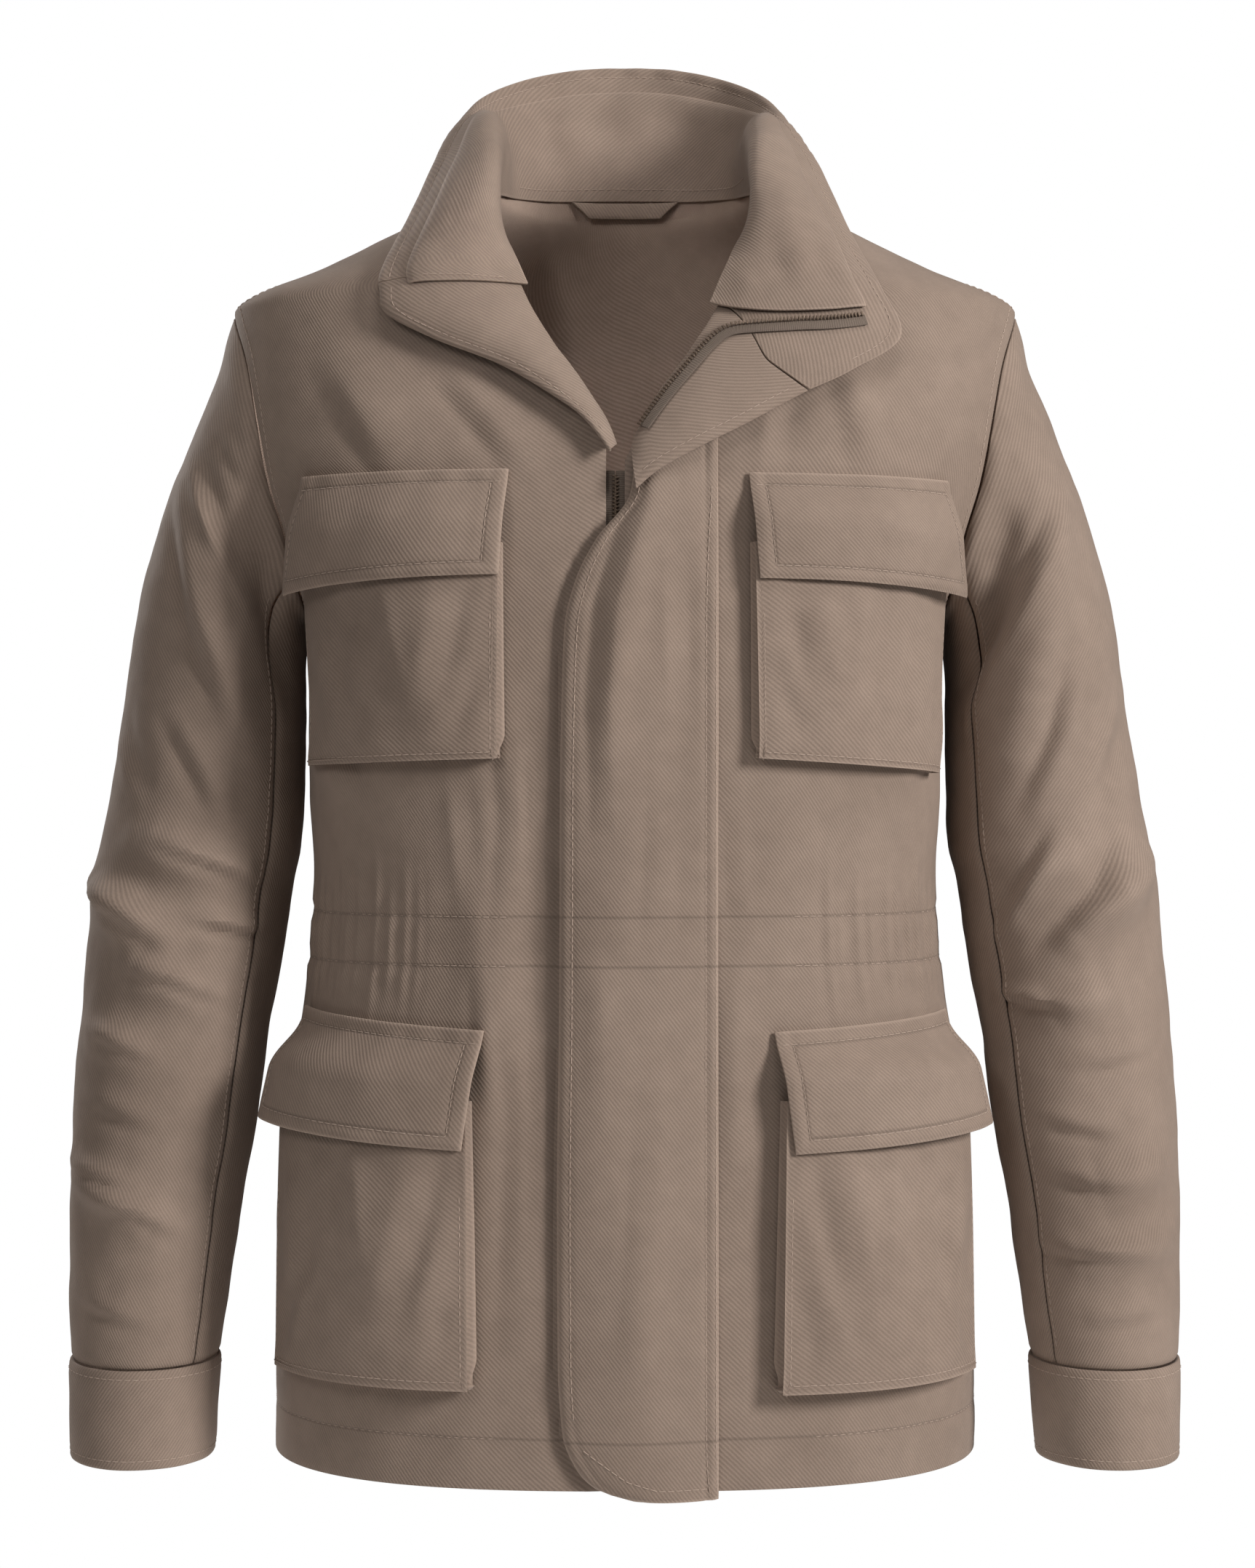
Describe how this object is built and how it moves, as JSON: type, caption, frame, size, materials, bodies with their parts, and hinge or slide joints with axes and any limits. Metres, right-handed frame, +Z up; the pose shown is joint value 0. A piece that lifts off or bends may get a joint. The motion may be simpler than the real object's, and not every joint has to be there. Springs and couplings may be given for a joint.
{
  "type": "field jacket",
  "caption": "Worn, hollow field jacket with a high double collar, a storm flap over the zip, a drawn waist and flapped bellows pockets.",
  "frame": {"origin": "midway between the two neck points, on the line of the shoulder seams, where the wearer holds it up", "axes": "+X to the wearer's left, -Y to the front, +Z up"},
  "size_m": [0.632, 0.2747, 0.822],
  "materials": {
    "shell": "matt washed cotton twill",
    "tape": "matt woven tape",
    "metal": "dull plated"
  },
  "bodies": {
    "root": {"front_left": "shell", "front_right": "shell", "back": "shell", "top_sleeve_left": "shell", "top_sleeve_right": "shell", "under_sleeve_left": "shell", "under_sleeve_right": "shell", "cuff_left": "shell", "cuff_right": "shell", "collar_outer": "shell", "collar_inner": "shell", "facing_left": "shell", "facing_right": "shell", "hanger_loop": "shell", "storm_flap": "shell", "chest_pocket_left": "shell", "chest_pocket_right": "shell", "chest_flap_left": "shell", "chest_flap_right": "shell", "lower_pocket_left": "shell", "lower_pocket_right": "shell", "lower_flap_left": "shell", "lower_flap_right": "shell", "zip_tape_lapel": "tape", "zip_tape_left": "tape", "zip_tape_right": "tape", "zip_slider": "metal"}
  },
  "joints": []
}
